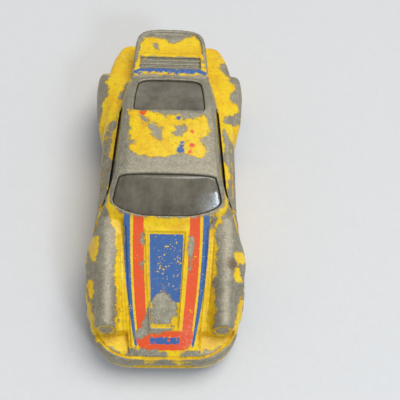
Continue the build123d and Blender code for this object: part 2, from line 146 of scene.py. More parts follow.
def carve(field, region, depth, k=0.15):
    """Sink a region of the surface by a depth."""
    return smooth_max(field, -smooth_max(region, -field - depth, k), k)


# ---------------------------------------------------------------- body components
def tub_plan():
    return outline(X, Y, both_sides(NOSE + [
        (13.6, -10), (13.5, 8), (13.4, 24), (12.6, 29.5), (12, 32.2), (11.2, 34.3), (9.8, 35.6), (6, 36),
    ]), curved=True)


def tub():
    """Main volume of the body up to the belt line."""
    side = outline(Y, Z, [
        (-36.4, -9), (-36.4, 3), (-35.6, 7.2), (-34.9, 7.5), (-31.1, 7.7), (-30.7, 9.4), (-27, 10.9),
        (-22, 12.1), (-16, 13.8), (-11.3, 15), (-5, 15.3), (4, 15.3), (12, 14.9), (20, 13.8), (27, 12.1),
        (32, 10.8), (35.5, 10.1), (36, 8.4), (36, -9),
    ])
    section = outline(X, Z, both_sides([
        (12.9, -9), (12.9, 3), (13.8, 6), (14, 8.2), (13.5, 12), (12.3, 14.6), (10, 16),
    ]))
    return meet(1.0, tub_plan(), side, section)


def bumper():
    """Full-width lip round the nose."""
    lip = np.abs(Z - 4.6) - 2.1
    return meet(0.9, tub_plan(), lip, Y + 29.5)


def hood_plan():
    return outline(X, Y, both_sides([(6.3, -35.3), (7.3, -24), (8.3, -9)]))


def hood():
    """Sloping lid between the fenders, from the nose to the windscreen."""
    side = outline(Y, Z, [
        (-35.3, 0), (-35.1, 7.0), (-34.2, 8.0), (-31, 9.6), (-27, 11.3), (-22, 12.85), (-16, 14.8),
        (-11.2, 16.4), (-7, 16.6), (-7, 0),
    ])
    return meet(0.5, hood_plan(), side)


def fender_tube():
    """Rounded ridge from the headlight along the belt line to the tail."""
    path = [
        (HEADLIGHT[0], HEADLIGHT[1] - 2, HEADLIGHT[2] - 0.2, 1.95), (10.9, -22, 12.15, 2.1),
        (11.2, -11, 13.0, 2), (11.2, 0, 13.1, 1.9), (11.3, 10, 12.8, 1.8), (11.2, 22, 11.4, 1.8),
        (10.4, 30, 9.4, 1.7),
    ]
    face = HEADLIGHT[1] - Y + 0.12 * (Z - HEADLIGHT[2])
    return meet(0.5, tube(path), face)


def front_flare():
    """Box flare over the front wheel."""
    plan = outline(X, Y, [
        (0, -28.6), (12.9, -28.2), (14.3, -26.2), (15.3, -23.6), (15.7, -20), (15.5, -16.7), (14.6, -14.1),
        (13.2, -12), (12, -10), (0, -9.6),
    ], curved=True)
    side = outline(Y, Z, [
        (-29, 0), (-29, 6), (-27.6, 9.2), (-24.6, 11.4), (-20, 12.7), (-14, 13.2), (-9.6, 12), (-8.2, 8),
        (-8, 0),
    ], curved=True)
    section = outline(X, Z, [
        (0, -9), (15.8, -9), (15.8, 9.4), (15.2, 11.3), (13.8, 12.8), (11, 13.7), (0, 13.9),
    ])
    return meet(1.4, plan, side, section)


def rear_flare():
    """Wider box flare over the rear wheel, with a step behind the door."""
    plan = outline(X, Y, [
        (0, 5.5), (12.6, 6), (13.7, 8.6), (14.5, 11), (15.2, 14), (15.7, 17.2), (15.95, 21),
        (15.85, 22.8), (15.5, 24.7), (14.9, 26), (13.8, 27), (12.3, 27.8), (0, 28),
    ])
    side = outline(Y, Z, [
        (7.6, 0), (7.3, 4), (7.9, 8.4), (9.6, 11.9), (12, 14.4), (15.4, 14.9), (20, 14.4), (24, 13),
        (26, 11.7), (27.3, 9.8), (28, 7), (28.2, 0),
    ])
    section = outline(X, Z, [
        (0, -9), (16.2, -9), (16.2, 9.6), (15.9, 11.2), (15, 12.7), (12.8, 13.9), (8, 14.8), (0, 15),
    ])
    return meet(0.9, plan, side, section)


def rail_half_width(y):
    """Half width of the cabin at the height of the roof rails."""
    return np.interp(y, [-13, -2.7, 13.7, 19.5, 24], [10.9, 10.2, 9.15, 8.1, 7.6])


def greenhouse():
    """Cabin from the windscreen base to the rear window base; front and rear faces bow outwards."""
    bow = np.interp(GRID_Y, [-12, -4, 2, 12, 22], [0.018, 0.011, 0, 0, -0.012])[None, :, None]
    bowed_y = Y - bow * X * X
    side = outline(bowed_y, Z, [
        (-12.4, 0), (-12.4, 15.6), (-11.4, 16.7), (-8, 19.2), (-5.3, 20.85), (-3.2, 21.2), (2, 21.3),
        (7, 21.25), (11, 20.8), (15, 19.4), (21.4, 16.4), (22, 15), (22, 0),
    ])
    section = outline(X * 10.2 / rail_half_width(Y), Z, both_sides([
        (12, 0), (11.7, 14.5), (11, 16.8), (10.2, 19.1), (9.3, 20.4), (7.6, 21.05), (4, 21.3),
    ]))
    return meet(1.0, side, section)


def deck_plan():
    return outline(X, Y, both_sides([
        (8.3, 17), (8.2, 22), (7.5, 31.4), (7.1, 33), (6.2, 34.2), (4.9, 34.8), (2.5, 35.15),
    ]))


def deck():
    """Engine cover and rear wing: one flat-topped block whose wing overhangs the rear panel."""
    top = Z - 16.2
    skirt = outline(X, Y, both_sides([(7.9, 17), (7.2, 31), (6.4, 33.2), (4, 33.8)]))
    wing = meet(0.5, deck_plan(), np.abs(Z - 15.45) - 0.75)
    return smooth_min(meet(0.5, skirt, top), wing, 0.6)


def windows():
    """Upright prisms for the windscreen and rear window, one across the car for the side windows, and the
    narrow gap between the cabin and the fender ridge."""
    screen = outline(X, Y, both_sides([
        (3.5, -10.9), (6.8, -10.3), (9.1, -9.4), (10.1, -8.5), (10.05, -7.6), (9.2, -5), (8.6, -4.4),
        (4.5, -4.15),
    ]), curved=True)
    rear = outline(X, Y, both_sides([
        (3.5, 10.3), (6.2, 10.2), (6.95, 10.8), (7, 12.4), (6.7, 18.4), (6.2, 20.1), (4.9, 20.75),
        (2.5, 20.9),
    ]), curved=True)
    above = 15.9 - Z
    side = outline(Y, Z, [
        (-7.2, 16.4), (-6.6, 16.0), (13.6, 16.0), (14.4, 16.6), (10.8, 19.3), (-3.6, 19.5), (-4.4, 19.1),
    ])
    side = meet(0.3, side, 7.6 - X)
    channel = np.abs(X - rail_half_width(Y) - 0.75) - 0.2
    channel = meet(0.1, channel, np.abs(Y - 3.4) - 10, np.abs(Z - 16) - 1.4)
    return np.minimum(meet(0.2, np.minimum(screen, rear), above), np.minimum(side, channel))


def wheel_arches():
    front = np.hypot(Y - FRONT_Y, Z - WHEEL_RADIUS)
    rear = np.hypot(Y - REAR_Y, Z - WHEEL_RADIUS)
    return meet(0.4, np.minimum(front, rear) - ARCH_RADIUS, 10.6 - X)


def wheel_liners():
    """Upper part of the wall behind each wheel, inside the casting."""
    front = np.hypot(Y - FRONT_Y, Z - WHEEL_RADIUS)
    rear = np.hypot(Y - REAR_Y, Z - WHEEL_RADIUS)
    disc = np.minimum(front, rear) - ARCH_RADIUS - 0.8
    return meet(0.2, disc, np.abs(X - 9.9) - 0.35, 8.4 - Z, BODY + 0.5)


def outer_body():
    """Outer surface of the casting, before it is hollowed."""
    body = tub()
    body = smooth_min(body, bumper(), 0.25)
    body = smooth_min(body, front_flare(), 1.6)
    body = smooth_min(body, fender_tube(), 1.5)
    body = smooth_min(body, hood(), 0.35)
    body = smooth_min(body, rear_flare(), 0.3)
    body = smooth_min(body, greenhouse(), 0.7)
    return smooth_min(body, deck(), 0.5)


def stroke(u, v, start, end):
    """Distance to a straight stroke in the (u, v) plane."""
    du, dv = end[0] - start[0], end[1] - start[1]
    along = np.clip(((u - start[0]) * du + (v - start[1]) * dv) / (du * du + dv * dv), 0, 1)
    return np.hypot(u - start[0] - along * du, v - start[1] - along * dv)


def hood_details(body):
    """Shut line round the hood, a beaded frame with a sunk panel, and the crease along the bumper."""
    frame_line = outline(X, Y, both_sides([(2.8, -30.7), (4.1, -13.1)]))
    panel = outline(X, Y, both_sides([(2.3, -30.1), (3.3, -13.9)])) - 0.2
    top = 8 - Z
    body = smooth_min(body, meet(0.15, frame_line, body - 0.16, top), 0.1)
    body = carve(body, meet(0.15, panel, top), 0.3, 0.2)
    body = carve(body, meet(0.1, np.abs(hood_plan() + 0.35) - 0.15, Y + 12.7, -34.4 - Y, top), 0.25)
    body = carve(body, meet(0.1, np.abs(hood_plan() - 0.9) - 0.12, Y + 14, -31 - Y, top), 0.16)
    crease = np.abs(tub_plan() + 0.95) - 0.17
    return carve(body, meet(0.1, crease, Y + 30.6, 6.4 - Z), 0.28)


def door_details(body):
    """Door shut lines, the handle recess, and the line where the front fender meets the belt."""
    door = outline(Y, Z, [(-8.6, 4.2), (-8.6, 14.6), (7.4, 14.6), (7.4, 9), (6.2, 4.2)])
    body = carve(body, meet(0.1, np.abs(door) - 0.13, 12 - X), 0.25)
    handle = outline(Y, Z, [(3.6, 11.7), (3.6, 12.2), (6.2, 12.2), (6.2, 11.7)])
    body = carve(body, meet(0.1, handle, 12 - X), 0.3)
    bend = (12.2, -8.2)
    fender_end = np.minimum(stroke(X, Y, (11.2, -5), bend), stroke(X, Y, bend, (13.6, -12.6)))
    return carve(body, meet(0.1, fender_end - 0.15, 9 - Z), 0.25)


def tail_details(body):
    """Louvres, the wing's raised lip, tail lamps, number plate recess and the bumper seam."""
    grille = outline(X, Y, both_sides([(6.4, 24.2), (6.4, 27.1)]))
    slats = 0.28 - np.abs(np.mod(Y - 24.2, 0.95) - 0.5)
    body = carve(body, meet(0.1, grille, 14 - Z), 0.35)
    body = carve(body, meet(0.1, grille + 0.15, slats, 14 - Z), 0.25)
    body = carve(body, meet(0.2, deck_plan() + 0.9, 28.2 - Y, 14 - Z), 0.3, 0.3)
    tail_lamp = outline(X, Z, [(5.2, 7.9), (5.2, 9.1), (10.6, 9), (11, 7.9)])
    plate = outline(X, Z, both_sides([(3.8, 4.4), (3.8, 6.5)]))
    body = carve(body, meet(0.1, np.minimum(tail_lamp, plate), 30 - Y), 0.5)
    return carve(body, meet(0.1, np.abs(Z - 7.2) - 0.16, 31 - Y), 0.35)


def detailed(body):
    """The outer surface with all its raised, sunk and engraved detail."""
    body = tail_details(door_details(hood_details(body)))
    lens = np.hypot(X - HEADLIGHT[0], Z - HEADLIGHT[2])
    body = carve(body, meet(0.1, np.abs(lens - LENS_RADIUS) - 0.14, Y - HEADLIGHT[1] - 1.5), 0.25)
    intake = outline(X, Z, both_sides([(5.2, 3.9), (5.6, 5.2)]))
    return carve(body, meet(0.2, intake, Y + 33), 0.4)


# ---------------------------------------------------------------- field to mesh
def sample(field, points):
    """Trilinear value of a half-grid field at points in millimetres."""
    start = np.array([GRID_X[0], GRID_Y[0], GRID_Z[0]])
    place = np.abs(points * [1, 0, 0]) + points * [0, 1, 1]
    cell = np.clip((place - start) / STEP, 0, np.array(field.shape) - 1.001)
    low = cell.astype(int)
    f = cell - low
    total = np.zeros(len(points))
    for corner in np.ndindex(2, 2, 2):
        weight = np.prod(np.where(corner, f, 1 - f), axis=1)
        total += weight * field[tuple((low + corner).T)]
    return total


def slope(field, points, reach=0.1):
    """Outward unit normal of a field at points."""
    normal = np.stack([
        sample(field, points + reach * axis) - sample(field, points - reach * axis) for axis in np.eye(3)
    ], axis=1)
    return normal / np.maximum(np.linalg.norm(normal, axis=1, keepdims=True), 1e-9)


def field_mesh(field, name, adaptivity):
    """Mesh of the zero surface of a half-grid field and its mirror image, with smooth normals."""
    whole = np.clip(np.concatenate([field[::-1], field]), -2 * STEP, 2 * STEP).astype(np.float32)
    grid = openvdb.FloatGrid(2 * STEP)
    grid.copyFromArray(whole)
    points, triangles, quads = grid.convertToPolygons(0.0, adaptivity)
    points = points * STEP + [STEP * (0.5 - len(GRID_X)), GRID_Y[0], GRID_Z[0]]
    mesh = bpy.data.meshes.new(name)
    mesh.from_pydata(points * MM, [], triangles.tolist() + quads.tolist())
    mesh.validate()
    mesh.update()
    piece = bpy.data.objects.new(name, mesh)
    bpy.context.scene.collection.objects.link(piece)
    mesh.shade_smooth()
    mesh.normals_split_custom_set_from_vertices(slope(field, vertices(mesh)))
    return piece


def vertices(mesh):
    flat = np.empty(len(mesh.vertices) * 3)
    mesh.vertices.foreach_get("co", flat)
    return flat.reshape(-1, 3) / MM


def store(piece, name, values):
    layer = piece.data.attributes.new(name, "FLOAT", "POINT")
    layer.data.foreach_set("value", np.asarray(values, np.float32))


BODY = outer_body()
WINDOWS = windows()
DETAILED = detailed(BODY)


def casting_field():
    hollow = BODY + WALL
    shell = smooth_max(DETAILED, -hollow, 0.3)
    shell = smooth_max(shell, -WINDOWS, 0.3)
    shell = smooth_max(shell, -wheel_arches(), 0.35)
    shell = smooth_min(shell, wheel_liners(), 0.2)
    return smooth_max(shell, SILL_Z - Z, 0.3)


def glass_field():
    house = greenhouse()
    pane = meet(0.2, house + 0.42, WINDOWS + 0.07)
    lining = house + WALL + 0.06
    glass = smooth_min(pane, lining, 0.1)
    glass = smooth_max(glass, -(house + WALL + 0.75), 0.1)
    return meet(0.1, glass, 15.6 - Z, Y - 21)


shell = field_mesh(casting_field(), "casting", 0.07)
glass = field_mesh(glass_field(), "windows", 0.02)
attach(shell, "chassis")
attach(glass, "chassis")
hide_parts("body_shell")
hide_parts("window_glass")


# ---------------------------------------------------------------- where the enamel survives
# Outlines in plan, in millimetres: areas rubbed back to bare zinc, and enamel left inside them.
# Left is the -x side, which is on the left for someone who faces the nose.
CABIN_BARE = both_sides(
    [(5, -11.15), (8.5, -10.3), (10.6, -8.9), (11, -3), (10.2, 6), (9.3, 14), (8, 22.3)]
)
BARE_SHOULDERS = [
    # left fender, right fender
    [
        (-11.4, -9.3), (-10.6, -12.3), (-9.8, -13), (-9.4, -18), (-9.7, -22.5), (-9, -25), (-9, -31.3),
        (-12.7, -31.2), (-13, -28), (-13.8, -25.6), (-17, -25), (-17, -15), (-14.2, -12.6), (-13.4, -9),
    ],
    [
        (12, -8.8), (10.6, -10.8), (10, -12.8), (9.3, -13.5), (9.8, -16), (9.3, -19.4), (9.6, -21.6),
        (8.7, -22.4), (9.4, -27), (8.7, -31), (12.6, -31), (12.7, -28), (13.6, -25), (17, -23.6),
        (17, -15), (14.4, -12), (13.6, -8.5),
    ],
    # left belt, right belt
    [
        (-11.7, 7), (-12, 2), (-11, 1.2), (-11.4, -0.4), (-10.8, -1.4), (-11, -3), (-12.1, -4.2),
        (-11.5, -6), (-11.6, -9.2), (-14.8, -9.2), (-14.8, 7),
    ],
    [
        (11.3, 6.8), (11.4, 4), (10.9, 2.2), (12, 1), (12.4, -1), (12.2, -3), (11.6, -5), (11.9, -8.8),
        (14.8, -8.8), (14.8, 7.5), (12.8, 6.5),
    ],
    # rear left: outer edge, slope under the rail, step
    [
        (-13.9, 25.8), (-13.2, 24), (-14.2, 22.5), (-13.3, 21.2), (-13.2, 18.4), (-14.4, 17.2),
        (-14.2, 15), (-14.6, 12.4), (-15, 10), (-17, 10), (-17, 26),
    ],
    [(-9, 21.9), (-9.9, 19.2), (-10.7, 17.4), (-9.5, 16.8), (-8.5, 19)],
    [(-10.8, 12), (-12, 10.3), (-12.8, 8), (-12, 7.4), (-10.9, 9.5)],
    # rear right: outer edge, chip, step
    [
        (11.4, 29.6), (10.9, 27.4), (12.2, 26), (13.6, 24.8), (12.8, 24), (14.5, 22.4), (14.2, 21.2),
        (12.8, 19.4), (13.1, 17.9), (14.9, 17.4), (14.8, 15.4), (17, 15.4), (17, 27), (14, 29.8),
    ],
    [(11.3, 11.8), (12, 12.9), (14.8, 15.4), (15, 13), (12.6, 11.5)],
    [(11, 9.2), (11.5, 9.4), (12.4, 6.8), (11.4, 6.4)],
]
BARE_TOP = [
    # hood chip, nose band left and right, shelf left and right
    [
        (-3, -26.9), (-2.4, -25.5), (-1.1, -24.6), (-0.3, -24), (0.5, -24.9), (1.1, -25.6),
        (2.2, -26.8), (2, -28), (1, -28.1), (0.6, -29.6), (1.5, -30.2), (0.5, -30.8), (-1.7, -30.9),
        (-4, -31.6), (-5.3, -31.9), (-5.2, -31.1), (-4.2, -30.4), (-3.6, -29),
    ],
    [(-6.8, -33.8), (-3.2, -34), (0.4, -34.5), (0.4, -35), (-6.8, -35)],
    [(3, -34.7), (3.8, -34.2), (6.2, -34), (6.4, -35), (3, -35)],
    [(-12.4, -31.6), (-10.6, -33.2), (-8.4, -34.2), (-7.4, -34.9), (-10, -34.6), (-12.2, -33)],
    [(7.2, -33.2), (8, -34.2), (10, -33.5), (9.6, -34.6), (7.4, -34.9)],
    # cowl, orange stripes' inner edges, deck
    [(8.3, -10.9), (9.3, -10.9), (9.1, -12), (8.2, -12.2)],
    [(-4.8, -14.2), (-4.4, -14), (-4.3, -16), (-4.7, -15.8)],
    [(-4.6, -19.2), (-4.2, -19), (-4.1, -20.4), (-4.4, -20.4)],
    [(4.4, -14.6), (5, -15.1), (5.2, -16.2), (4.6, -18), (4.4, -20.5)],
    [(-4.1, 31.7), (-3.3, 31.5), (-2.5, 29.5), (-3.1, 29.5)],
]
ENAMEL = [
    # left flare: two patches; right flare: two patches
    [(-15.6, -12), (-13.9, -14), (-12.8, -14.2), (-12.7, -16.5), (-13, -19), (-13.7, -18.4), (-14.6, -16)],
    [(-14.5, -22.8), (-13.5, -22.2), (-12.9, -24.8), (-13.6, -25.3)],
    [(12.8, -17.3), (14.4, -16.1), (15.3, -17), (14.6, -18.3), (12.9, -18.3)],
    [(13.2, -19.5), (14, -21), (13.9, -22), (12.8, -22.5), (12.5, -21.2)],
]
ROOF = [
    (-8, 10.4), (-5.7, 10.3), (-1.8, 9.3), (1.8, 9.2), (4.1, 8.1), (7.4, 10), (7.6, 7.3), (8.1, 5),
    (6.4, 3.6), (7.4, 1.2), (6.6, -1.3), (5.1, -0.9), (2.8, 0.3), (-0.6, -0.8), (-3.4, -0.9),
    (-6.6, -0.1), (-7.8, 2.7), (-7.6, 6.2),
]
ROOF_CHIPS = [
    (-2.8, 5.7, 1.1), (-2.2, 4.4, 0.9), (-1.9, 3.5, 0.7), (2.3, 5.9, 1.1), (1.7, 4.8, 0.9), (1, 4, 0.5),
    (-1.7, 6.2, 0.4), (-5, 8.4, 0.6), (-4.6, 7.4, 0.4), (-0.8, 9.3, 0.9), (-6.7, 2.5, 0.45),
    (5.1, 9.4, 1.3), (3.6, 9, 0.9), (7.2, 3, 1),
]
DECK_ENAMEL = [
    (-8, 22.3), (-6.9, 27.7), (-6.7, 30.4), (-6.2, 32.6), (-3.5, 33), (-1.6, 32.7), (0.4, 31.2),
    (1.4, 31.4), (3.1, 32.9), (5.3, 33.8), (6.4, 31.6), (7, 28.2), (8.1, 22.3),
]
# How far under and over the skin its edges and hollows are felt, in millimetres.
EDGE_REACH = 0.8


def surface_form(points, normals):
    """How far the skin falls away round each point (edges) and closes in on it (hollows), in mm."""
    here = sample(DETAILED, points)
    edge = EDGE_REACH - here + sample(BODY, points - EDGE_REACH * normals)
    hollow = EDGE_REACH + here - sample(DETAILED, points + EDGE_REACH * normals)
    return edge, hollow


def enamel_cover(points, edge, hollow):
    """Positive where enamel is left on the zinc and negative where it is rubbed away, in millimetres."""
    x, y, z = points.T
    most = np.where(z > 12.5, 1.2, np.interp(y, [16, 30], [0.95, 0.62]))
    cover = np.minimum(1.3 - 3.6 * edge + hollow, most)
    for patches, lowest in ((BARE_SHOULDERS, 11.2), (BARE_TOP, 6.4)):
        for patch in patches:
            cover = np.minimum(cover, np.maximum(1.15 * outline(x, y, patch) - 0.2, 0.5 * (lowest - z)))
    for patch in ENAMEL:
        cover = np.maximum(cover, 0.3 - 1.5 * outline(x, y, patch))
    roof = -outline(x, y, ROOF)
    for u, v, radius in ROOF_CHIPS:
        roof = np.minimum(roof, np.hypot(x - u, y - v) - radius)
    cabin = np.maximum(outline(x, y, CABIN_BARE), 15.9 - z)
    cover = np.minimum(cover, cabin)
    cover = np.maximum(cover, np.minimum(roof, z - 20))
    deck_edge = -outline(x, y, DECK_ENAMEL)
    louvres = outline(x, y, both_sides([(6.4, 24.1), (6.4, 27.2)]))
    on_deck = (z > 14.6) & (y > 21.5)
    cover = np.where(on_deck, np.minimum(cover, np.minimum(deck_edge, louvres)), cover)
    nose_lip = np.where((y < -30) & (z < 7.9), np.maximum(tub_edge(x, y), 0.5 * (4.4 - z)), 9)
    cover = np.minimum(cover, nose_lip)
    lens = np.hypot(np.abs(x) - HEADLIGHT[0], z - HEADLIGHT[2]) - LENS_RADIUS
    cover = np.where((lens < 0.1) & (y < HEADLIGHT[1] + 0.6), -1.2, cover)
    return np.maximum(cover, np.where(z < 14.6, 5 * hollow - 1.3, -9))


def tub_edge(x, y):
    """Distance in from the rim of the nose, past the worn lip; less is worn either side of the middle."""
    spared = 0.9 * np.clip(1 - np.abs(np.abs(x) - 2.6) / 2.6, 0, 1)
    return -outline(x, y, both_sides(NOSE)) - 0.9 + spared


def store_wear(piece):
    points = vertices(piece.data)
    edge, hollow = surface_form(points, slope(DETAILED, points))
    cut = sample(DETAILED, points) < -0.2
    cover = np.where(cut, -1.5, enamel_cover(points, edge, hollow))
    # Inside the window cuts the hollow is raised so the bare zinc there gets painted shade, and in the gap
    # beside the cabin it is set to 1, which paints a nearly black painted shadow.
    channel = np.abs(points[:, 0]) > rail_half_width(points[:, 1])
    hollow = np.where(cut, np.where(channel, 1, 0.35), hollow)
    store(piece, "cover", cover)
    store(piece, "hollow", hollow)


store_wear(shell)


# ---------------------------------------------------------------- shader expressions
class Value:
    """A number in a shader, combined with others by ordinary arithmetic."""

    def __init__(self, tree, socket):
        self.tree = tree
        self.socket = socket

    def math(self, operation, *others):
        node = self.tree.nodes.new("ShaderNodeMath")
        node.operation = operation
        for slot, item in zip(node.inputs, (self, *others)):
            feed(self.tree, slot, item)
        return Value(self.tree, node.outputs[0])

    def __add__(self, other):
        return self.math("ADD", other)

    def __sub__(self, other):
        return self.math("SUBTRACT", other)

    def __rsub__(self, other):
        return (self * -1) + other

    def __mul__(self, other):
        return self.math("MULTIPLY", other)

    def __truediv__(self, other):
        return self.math("DIVIDE", other)

    __radd__ = __add__
    __rmul__ = __mul__

    def size(self):
        return self.math("ABSOLUTE")

    def least(self, other):
        return self.math("MINIMUM", other)

    def most(self, other):
        return self.math("MAXIMUM", other)

    def step(self, low, high):
        """0 below low and 1 above high, with a straight ramp between; low may be the greater."""
        node = self.tree.nodes.new("ShaderNodeMapRange")
        feed(self.tree, node.inputs["Value"], self)
        node.inputs["From Min"].default_value = low
        node.inputs["From Max"].default_value = high
        return Value(self.tree, node.outputs["Result"])

    def inside(self, low, high, soft=0.05):
        """1 between low and high."""
        return self.step(low - soft, low + soft) * self.step(high + soft, high - soft)


def feed(tree, slot, item):
    """Plug a value, a colour or another node's output into a socket."""
    if isinstance(item, Value):
        tree.links.new(item.socket, slot)
    elif isinstance(item, bpy.types.NodeSocket):
        tree.links.new(item, slot)
    elif isinstance(item, tuple):
        slot.default_value = (*item, 1)
    else:
        slot.default_value = item


class Surface:
    """A Principled material under construction, with coordinates in millimetres."""

    def __init__(self, name):
        self.material = bpy.data.materials.new(name)
        self.material.use_nodes = True
        self.tree = self.material.node_tree
        self.shader = self.tree.nodes["Principled BSDF"]
        scale = self.tree.nodes.new("ShaderNodeVectorMath")
        scale.operation = "SCALE"
        scale.inputs["Scale"].default_value = 1 / MM
        self.tree.links.new(self.tree.nodes.new("ShaderNodeTexCoord").outputs["Object"], scale.inputs[0])
        self.place = scale.outputs[0]
        axes = self.tree.nodes.new("ShaderNodeSeparateXYZ")
        self.tree.links.new(self.place, axes.inputs[0])
        self.x, self.y, self.z = (Value(self.tree, socket) for socket in axes.outputs)

    def noise(self, per_mm, detail=3.0, roughness=0.6, stretch=(1, 1, 1), seed=0.0):
        """Smooth noise around 0.5 whose features are about 1 / per_mm across."""
        shift = self.tree.nodes.new("ShaderNodeMapping")
        shift.inputs["Location"].default_value = (seed, -seed, 2 * seed)
        shift.inputs["Scale"].default_value = stretch
        self.tree.links.new(self.place, shift.inputs["Vector"])
        node = self.tree.nodes.new("ShaderNodeTexNoise")
        self.tree.links.new(shift.outputs[0], node.inputs["Vector"])
        node.inputs["Scale"].default_value = per_mm
        node.inputs["Detail"].default_value = detail
        node.inputs["Roughness"].default_value = roughness
        return Value(self.tree, node.outputs[0])

    def away_from(self, u, v):
        """Distance in plan from a place, in millimetres."""
        across, along = self.x - u, self.y - v
        return (across * across + along * along).math("SQRT")

    def stored(self, name):
        node = self.tree.nodes.new("ShaderNodeAttribute")
        node.attribute_name = name
        return Value(self.tree, node.outputs["Fac"])

    def blend(self, factor, first, second):
        """first where factor is 0, second where it is 1; colours are tuples or earlier blends."""
        node = self.tree.nodes.new("ShaderNodeMix")
        node.data_type = "RGBA"
        feed(self.tree, node.inputs[0], factor)
        feed(self.tree, node.inputs[6], first)
        feed(self.tree, node.inputs[7], second)
        return node.outputs[2]

    def set(self, name, item):
        feed(self.tree, self.shader.inputs[name], item)

    def relief(self, height, strength=1.0):
        """Bump from a height in millimetres."""
        bump = self.tree.nodes.new("ShaderNodeBump")
        bump.inputs["Distance"].default_value = MM
        bump.inputs["Strength"].default_value = strength
        feed(self.tree, bump.inputs["Height"], height)
        self.tree.links.new(bump.outputs[0], self.shader.inputs["Normal"])

    def on(self, *pieces):
        for piece in pieces:
            piece.data.materials.clear()
            piece.data.materials.append(self.material)


# ---------------------------------------------------------------- enamel and bare zinc
YELLOW = (0.9, 0.625, 0.006)
ORANGE = (0.8, 0.09, 0.02)
BLUE = (0.035, 0.115, 0.34)
ZINC = (0.4, 0.362, 0.262)
# Stray marks of print on the roof: x, y and radius in millimetres.
BLUE_ROOF_MARKS = [(2.3, 0.9, 0.75), (2.5, 1.7, 0.5), (2.6, 2.5, 0.35), (1.9, 8.3, 0.5), (7.2, 9.5, 0.35)]
ORANGE_ROOF_MARKS = [(-5.1, 9.5, 0.7), (4.5, 5.1, 0.4), (4.5, 2, 0.5), (4.1, 0.5, 0.4)]


def stripe(across, middle, half_width):
    """1 within half_width of the middle."""
    return (half_width - (across - middle).size()).step(-0.05, 0.05)


def printed_stripes(paint):
    """(orange, blue) strengths of the printed decoration, from places in plan."""
    x, y, z = paint.x, paint.y, paint.z
    wobble = paint.noise(1.6, 2, seed=3) * 0.22 - 0.11
    on_hood = z.step(7.3, 7.6) * y.step(-9.9, -10.1)

    # stripes that draw together and thin out towards the nose
    along = y.step(-11, -33.3)
    narrowing = 1 - along * 0.08 - along * along * 0.26
    across = x.size() / narrowing + wobble
    blue = stripe(across, 7.45 + along * 0.3, 0.62 - along * along * 0.3) * y.step(-33.5, -33.1) * on_hood
    orange = stripe(across, 5.28 + along * 0.35, 0.97 + along * 0.3) * y.step(-32.3, -31.7) * on_hood

    # the orange pair joined round the nose
    corner = (x.size() - 3.1).most(0)
    low = (y * -1 - 31.9 + wobble).most(0)
    bowl = (corner * corner + low * low).math("SQRT").step(2.1, 2) * y.step(-30.7, -30.9) * on_hood

    # blue panel on the hood and blue band across the deck
    panel = across.step(3.24, 3.14) * (y + wobble).inside(-26, -14.05)
    chipped = paint.noise(0.9, 4, 0.7, seed=9) * 4 - 1.7
    bowed = y + (x.size() - 6).most(0) * 0.5
    band = (bowed - chipped).step(22.5, 22.7) * bowed.step(24.2, 24.1)
    band = band * x.size().step(7.8, 7.7) * z.step(15.5, 15.7)
    return orange.most(bowl), blue.most(panel).most(band)


def roof_marks(paint, places):
    """Union of small ragged marks on the roof; each place is (x, y, radius)."""
    ragged = paint.noise(2.4, 3, seed=8) * 1.2 - 0.6
    total = None
    for u, v, radius in places:
        mark = (paint.away_from(u, v) + ragged).step(radius + 0.15, radius - 0.15)
        total = mark if total is None else total.most(mark)
    return total * paint.z.step(20, 20.2)


def enamel_left(paint):
    """Positive where enamel is left, roughly in millimetres from the nearest chip."""
    coarse = paint.noise(0.75, 6, 0.62, seed=1)
    fine = paint.noise(3.2, 4, 0.7, seed=2)
    pits = paint.noise(5.5, 2, 0.5, seed=5)
    left = paint.stored("cover") + (coarse - 0.5) * 2.3 + (fine - 0.5) * 1.5
    return left.least(4 * (0.71 - pits))


def yellow_enamel(paint, tone, hollow):
    """Yellow with warmer areas, creases darkened by dirt and painted shade, stains and dark specks."""
    yellow = paint.blend(tone.step(0.4, 0.75), YELLOW, (0.82, 0.44, 0.006))
    # creases and recesses darkened brown: partly dirt, partly painted shade
    grime_and_shade = (hollow * 1.6).least(1).most(0) * paint.noise(1.2, 4, seed=17).step(0.35, 0.65)
    yellow = paint.blend(grime_and_shade * 0.55, yellow, (0.36, 0.17, 0.015))
    stains = paint.noise(1.3, 6, 0.8, seed=18).step(0.5, 0.72)
    yellow = paint.blend(stains * 0.6, yellow, (0.42, 0.21, 0.015))
    specks = paint.noise(2.4, 3, 0.6, seed=19).step(0.66, 0.7)
    return paint.blend(specks * 0.7, yellow, (0.24, 0.12, 0.02))


def print_kept(paint):
    """1 where the print survives: rubbed off in patches, and flecked, most of all on the hood panel."""
    rubbed = paint.noise(1.1, 5, 0.75, seed=7).step(0.68, 0.66)
    along = (paint.y + 20) * 0.5
    panel_middle = ((paint.x - 0.7) * (paint.x - 0.7) + along * along).step(11, 0)
    worn_area = paint.noise(0.6, 3, 0.6, seed=14) + panel_middle * 0.16
    flecks = paint.noise(2.7, 2, 0.55, seed=11) + (worn_area - 0.5) * 0.6
    return flecks.step(0.74, 0.71) * rubbed


def nose_bar(paint):
    """Plain blue bar on the orange at the nose, with ragged edges and worn spots."""
    ragged = paint.noise(1.5, 3, 0.7, seed=12) - 0.5
    width = (paint.x.size() + ragged * 1.5).step(2.7, 2.6)
    depth = (paint.y + 32.4 + ragged * 0.8).size().step(0.6, 0.52)
    worn = paint.noise(1.1, 4, 0.75, seed=15).step(0.6, 0.57)
    return width * depth * worn * paint.z.step(7.3, 7.6)


